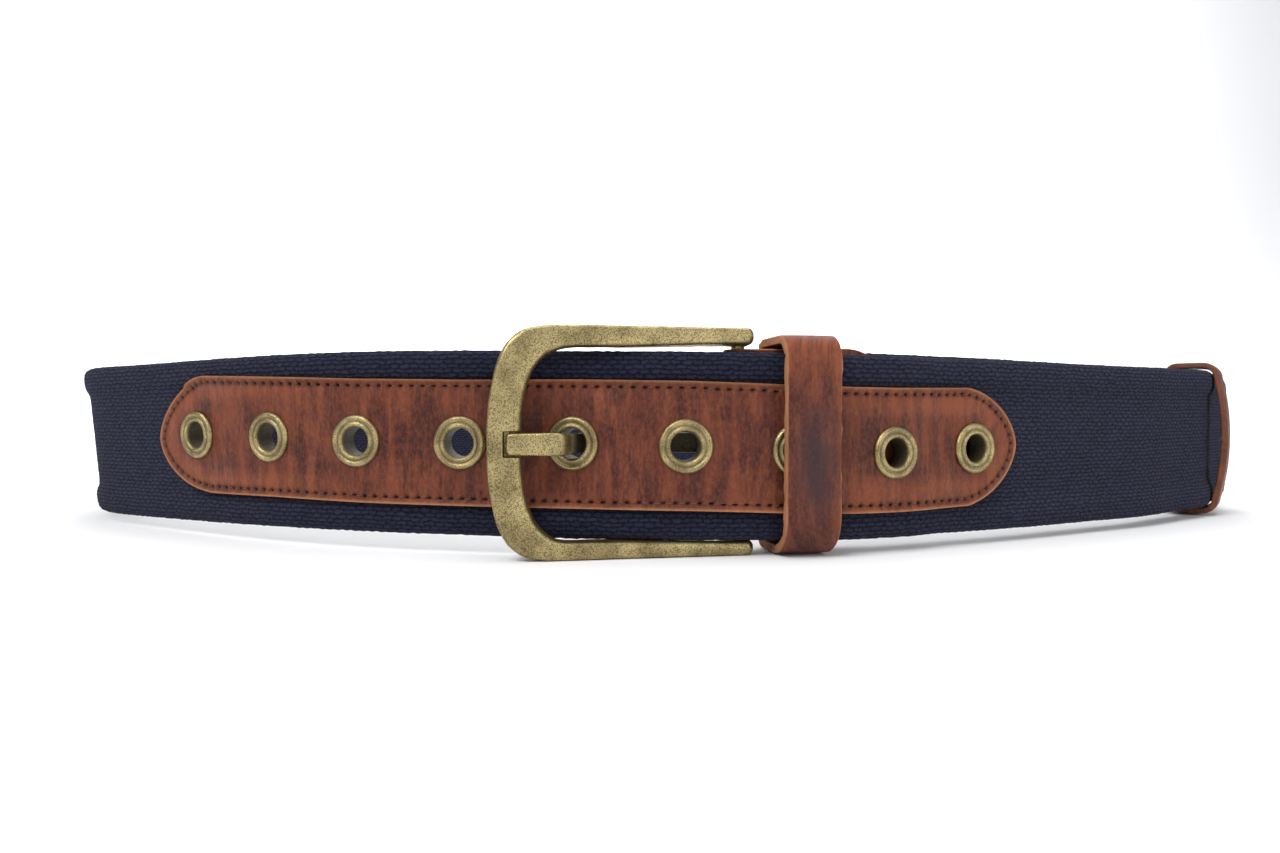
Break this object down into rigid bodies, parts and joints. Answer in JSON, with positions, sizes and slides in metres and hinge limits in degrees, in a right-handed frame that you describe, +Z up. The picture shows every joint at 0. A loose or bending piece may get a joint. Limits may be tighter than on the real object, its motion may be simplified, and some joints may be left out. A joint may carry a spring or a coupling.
{
  "type": "canvas web belt",
  "caption": "Canvas web belt buckled into a standing loop: thick-edged cotton web, leather eyelet patch, tab and loops, brass frame buckle with prong.",
  "frame": {"origin": "middle of the bounding box, at the level that the belt stands on", "axes": "+X to the right along the belt's front as the buckle is seen, -Y towards the viewer of the buckle, +Z up, across the strap's width"},
  "size_m": [0.3592, 0.2224, 0.0486],
  "materials": {
    "navy_web": "matt coarse-woven cotton with a little lint",
    "brown_leather": "waxed, satin, worn lighter at the edges",
    "antique_brass": "tumbled and darkened, satin"
  },
  "bodies": {
    "root": {"web_strap": "navy_web", "eyelet_patch": "brown_leather", "heel_tab": "brown_leather", "buckle_keeper": "brown_leather", "end_keeper": "brown_leather", "buckle_frame": "antique_brass", "buckle_prong": "antique_brass", "eyelet_1": "antique_brass", "eyelet_2": "antique_brass", "eyelet_3": "antique_brass", "eyelet_4": "antique_brass", "eyelet_5": "antique_brass", "eyelet_6": "antique_brass", "eyelet_7": "antique_brass", "eyelet_8": "antique_brass", "eyelet_9": "antique_brass"}
  },
  "joints": []
}
